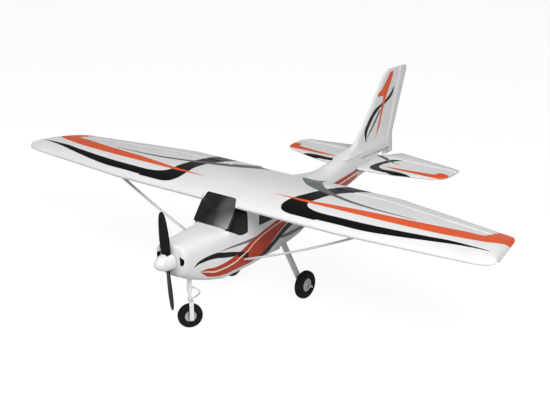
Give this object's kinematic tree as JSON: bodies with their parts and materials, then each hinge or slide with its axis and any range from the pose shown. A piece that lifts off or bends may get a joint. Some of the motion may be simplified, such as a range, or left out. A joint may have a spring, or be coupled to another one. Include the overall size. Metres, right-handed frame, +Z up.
{
  "type": "rc foam airplane",
  "caption": "High-wing foam radio-control trainer airplane with tricycle gear, nose propeller, working flaps, ailerons, elevator, rudder, battery hatch and steerable sprung nose wheel.",
  "frame": {"origin": "on the ground plane under the middle of the overall length and span", "axes": "+X to the plane's left wing, -Y towards the nose, +Z up"},
  "size_m": [1.236, 0.945, 0.418],
  "materials": {
    "foam": "white beaded foam with painted trim",
    "black_plastic": "gloss black",
    "tyre": "matt black foam rubber",
    "grey_plastic": "satin light grey",
    "alloy": "satin",
    "steel": "bright wire",
    "blue_wrap": "shrink wrap",
    "carbon": "satin carbon tube"
  },
  "bodies": {
    "airframe": {"fuselage": "foam", "wing_left": "foam", "wing_right": "foam", "wing_spar": "carbon", "stabilizer": "foam", "fin": "foam", "wing_strut_left": "grey_plastic", "wing_strut_right": "grey_plastic", "gear_leg_left": "alloy", "gear_leg_right": "alloy", "axle_left": "steel", "axle_right": "steel", "gear_plate": "black_plastic", "battery": "blue_wrap", "receiver": "black_plastic", "elevator_servo": "black_plastic", "rudder_servo": "black_plastic", "motor_mount": "steel", "nose_gear_mount": "black_plastic", "left_aileron_servo": "black_plastic", "right_aileron_servo": "black_plastic", "left_flap_servo": "black_plastic", "right_flap_servo": "black_plastic"},
    "hatch": {"hatch_hood": "foam", "windscreen": "black_plastic"},
    "power": {"propeller": "black_plastic", "spinner": "foam", "motor_can": "alloy"},
    "elevator": {"elevator": "foam", "elevator_horn": "black_plastic"},
    "elevator_rod": {"elevator_rod": "steel"},
    "rudder": {"rudder": "foam", "rudder_horn": "black_plastic"},
    "rudder_rod": {"rudder_rod": "steel"},
    "left_wheel": {"left_wheel_tyre": "tyre", "left_wheel_hub": "grey_plastic"},
    "right_wheel": {"right_wheel_tyre": "tyre", "right_wheel_hub": "grey_plastic"},
    "nose_wheel": {"nose_wheel_tyre": "tyre", "nose_wheel_hub": "grey_plastic"},
    "nose_steer": {"nose_strut_upper": "alloy"},
    "nose_leg": {"nose_strut_lower": "alloy"},
    "scissor_upper": {"scissor_upper": "alloy"},
    "scissor_lower": {"scissor_lower": "alloy"},
    "left_aileron": {"left_aileron": "foam", "left_aileron_horn": "black_plastic"},
    "left_aileron_arm": {"left_aileron_arm": "black_plastic"},
    "left_aileron_rod": {"left_aileron_rod": "steel"},
    "right_aileron": {"right_aileron": "foam", "right_aileron_horn": "black_plastic"},
    "right_aileron_arm": {"right_aileron_arm": "black_plastic"},
    "right_aileron_rod": {"right_aileron_rod": "steel"},
    "left_flap": {"left_flap": "foam", "left_flap_horn": "black_plastic"},
    "left_flap_arm": {"left_flap_arm": "black_plastic"},
    "left_flap_rod": {"left_flap_rod": "steel"},
    "right_flap": {"right_flap": "foam", "right_flap_horn": "black_plastic"},
    "right_flap_arm": {"right_flap_arm": "black_plastic"},
    "right_flap_rod": {"right_flap_rod": "steel"}
  },
  "joints": [
    {"name": "left_aileron_hinge", "type": "hinge", "parent": "airframe", "child": "left_aileron", "pos_m": [0.42, -0.10208, 0.25539], "axis": [0.9837, -0.1789, 0.0158], "range_deg": [-22, 22]},
    {"name": "left_aileron_arm_hinge", "type": "hinge", "parent": "airframe", "child": "left_aileron_arm", "pos_m": [0.40748, -0.17095, 0.25539], "axis": [0.9837, -0.1789, 0.0158], "range_deg": [-24, 24]},
    {"name": "left_aileron_rod_hinge", "type": "hinge", "parent": "left_aileron_arm", "child": "left_aileron_rod", "pos_m": [0.40776, -0.171, 0.2374], "axis": [0.9837, -0.1789, 0.0158], "range_deg": [-24, 24]},
    {"name": "right_aileron_hinge", "type": "hinge", "parent": "airframe", "child": "right_aileron", "pos_m": [-0.42, -0.10208, 0.25539], "axis": [0.9837, 0.1789, -0.0158], "range_deg": [-22, 22]},
    {"name": "right_aileron_arm_hinge", "type": "hinge", "parent": "airframe", "child": "right_aileron_arm", "pos_m": [-0.40748, -0.17095, 0.25539], "axis": [0.9837, 0.1789, -0.0158], "range_deg": [-24, 24]},
    {"name": "right_aileron_rod_hinge", "type": "hinge", "parent": "right_aileron_arm", "child": "right_aileron_rod", "pos_m": [-0.40776, -0.171, 0.2374], "axis": [0.9837, 0.1789, -0.0158], "range_deg": [-24, 24]},
    {"name": "left_flap_hinge", "type": "hinge", "parent": "airframe", "child": "left_flap", "pos_m": [0.16, -0.07815, 0.25328], "axis": [-1, 0, 0], "range_deg": [0, 35]},
    {"name": "left_flap_arm_hinge", "type": "hinge", "parent": "airframe", "child": "left_flap_arm", "pos_m": [0.16, -0.14815, 0.25328], "axis": [-1, 0, 0], "range_deg": [-1, 37]},
    {"name": "left_flap_rod_hinge", "type": "hinge", "parent": "left_flap_arm", "child": "left_flap_rod", "pos_m": [0.16, -0.14815, 0.23528], "axis": [-1, 0, 0], "range_deg": [-37, 1]},
    {"name": "right_flap_hinge", "type": "hinge", "parent": "airframe", "child": "right_flap", "pos_m": [-0.16, -0.07815, 0.25328], "axis": [-1, 0, 0], "range_deg": [0, 35]},
    {"name": "right_flap_arm_hinge", "type": "hinge", "parent": "airframe", "child": "right_flap_arm", "pos_m": [-0.16, -0.14815, 0.25328], "axis": [-1, 0, 0], "range_deg": [-1, 37]},
    {"name": "right_flap_rod_hinge", "type": "hinge", "parent": "right_flap_arm", "child": "right_flap_rod", "pos_m": [-0.16, -0.14815, 0.23528], "axis": [-1, 0, 0], "range_deg": [-37, 1]},
    {"name": "elevator_hinge", "type": "hinge", "parent": "airframe", "child": "elevator", "pos_m": [0, 0.33625, 0.203], "axis": [1, 0, 0], "range_deg": [-25, 25]},
    {"name": "elevator_rod_slide", "type": "slide", "parent": "airframe", "child": "elevator_rod", "axis": [0, 1, 0], "range_m": [-0.0075, 0.0075]},
    {"name": "rudder_hinge", "type": "hinge", "parent": "airframe", "child": "rudder", "pos_m": [0, 0.36925, 0.202], "axis": [0, 0.2975, 0.9547], "range_deg": [-28, 28]},
    {"name": "rudder_rod_slide", "type": "slide", "parent": "airframe", "child": "rudder_rod", "axis": [0, 1, 0], "range_m": [-0.009, 0.009]},
    {"name": "hatch_hinge", "type": "hinge", "parent": "airframe", "child": "hatch", "pos_m": [0, -0.38775, 0.2065], "axis": [1, 0, 0], "range_deg": [0, 60]},
    {"name": "propeller_spin", "type": "hinge", "parent": "airframe", "child": "power", "pos_m": [0, -0.43675, 0.17], "axis": [0, 1, 0], "continuous": true},
    {"name": "left_wheel_spin", "type": "hinge", "parent": "airframe", "child": "left_wheel", "pos_m": [0.104, -0.10425, 0.032], "axis": [1, 0, 0], "continuous": true},
    {"name": "right_wheel_spin", "type": "hinge", "parent": "airframe", "child": "right_wheel", "pos_m": [-0.104, -0.10425, 0.032], "axis": [1, 0, 0], "continuous": true},
    {"name": "nose_steering", "type": "hinge", "parent": "airframe", "child": "nose_steer", "pos_m": [0, -0.37175, 0.102], "axis": [0, 0, 1], "range_deg": [-4, 72]},
    {"name": "nose_shock", "type": "slide", "parent": "nose_steer", "child": "nose_leg", "axis": [0, 0, 1], "range_m": [0, 0.008], "stiffness_N_per_m": 300, "springref_m": -0.0233},
    {"name": "scissor_upper_hinge", "type": "hinge", "parent": "nose_steer", "child": "scissor_upper", "pos_m": [0.00558, -0.36406, 0.089], "axis": [0.809, -0.5878, 0], "range_deg": [-1, 18]},
    {"name": "scissor_lower_hinge", "type": "hinge", "parent": "nose_leg", "child": "scissor_lower", "pos_m": [0.00558, -0.36406, 0.0653], "axis": [0.809, -0.5878, 0], "range_deg": [-18, 1]},
    {"name": "nose_wheel_spin", "type": "hinge", "parent": "nose_leg", "child": "nose_wheel", "pos_m": [0, -0.37175, 0.027], "axis": [0.809, -0.5878, 0], "continuous": true}
  ],
  "couplings": [
    {"joint": "left_aileron_arm_hinge", "follows": "left_aileron_hinge", "ratio": 1},
    {"joint": "left_aileron_rod_hinge", "follows": "left_aileron_hinge", "ratio": -1},
    {"joint": "right_aileron_hinge", "follows": "left_aileron_hinge", "ratio": -1},
    {"joint": "right_aileron_arm_hinge", "follows": "left_aileron_hinge", "ratio": -1},
    {"joint": "right_aileron_rod_hinge", "follows": "left_aileron_hinge", "ratio": 1},
    {"joint": "left_flap_arm_hinge", "follows": "left_flap_hinge", "ratio": 1},
    {"joint": "left_flap_rod_hinge", "follows": "left_flap_hinge", "ratio": -1},
    {"joint": "right_flap_hinge", "follows": "left_flap_hinge", "ratio": 1},
    {"joint": "right_flap_arm_hinge", "follows": "left_flap_hinge", "ratio": 1},
    {"joint": "right_flap_rod_hinge", "follows": "left_flap_hinge", "ratio": -1},
    {"joint": "elevator_rod_slide", "follows": "elevator_hinge", "m_per_rad": 0.015},
    {"joint": "rudder_rod_slide", "follows": "rudder_hinge", "m_per_rad": 0.0155},
    {"joint": "scissor_upper_hinge", "follows": "nose_shock", "rad_per_m": 35},
    {"joint": "scissor_lower_hinge", "follows": "nose_shock", "rad_per_m": -35}
  ]
}
